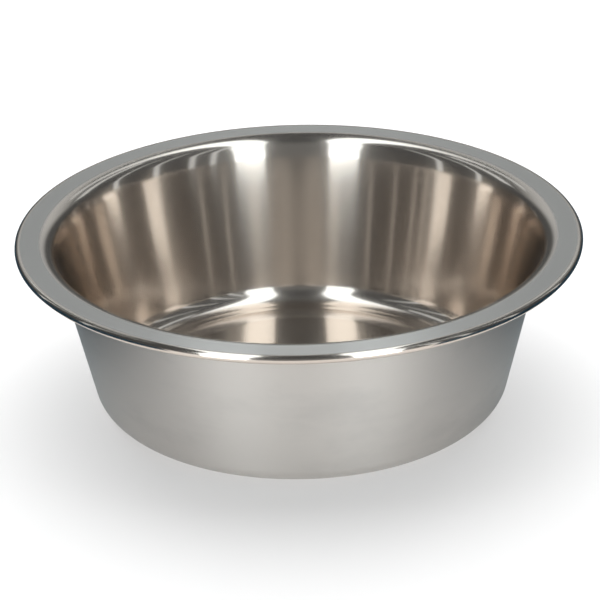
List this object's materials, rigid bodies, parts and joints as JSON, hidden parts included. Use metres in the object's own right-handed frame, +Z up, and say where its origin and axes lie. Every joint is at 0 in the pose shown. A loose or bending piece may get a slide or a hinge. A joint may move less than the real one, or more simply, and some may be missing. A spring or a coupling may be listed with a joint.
{
  "type": "dog bowl",
  "caption": "Wide tapered feeding bowl pressed from polished stainless sheet, with a flat flange, a rolled edge and a rubber non-slip ring under its floor.",
  "frame": {"origin": "middle of the surface that the bowl stands on, on the bowl's axis", "axes": "+Z up along the bowl's axis, from the ring to the mouth"},
  "size_m": [0.262, 0.262, 0.0825],
  "materials": {
    "steel": "mirror polished inside, fine turned satin outside and on the flange",
    "rubber": "matt moulded"
  },
  "bodies": {
    "root": {"bowl_shell": "steel", "non_slip_ring": "rubber"}
  },
  "joints": []
}
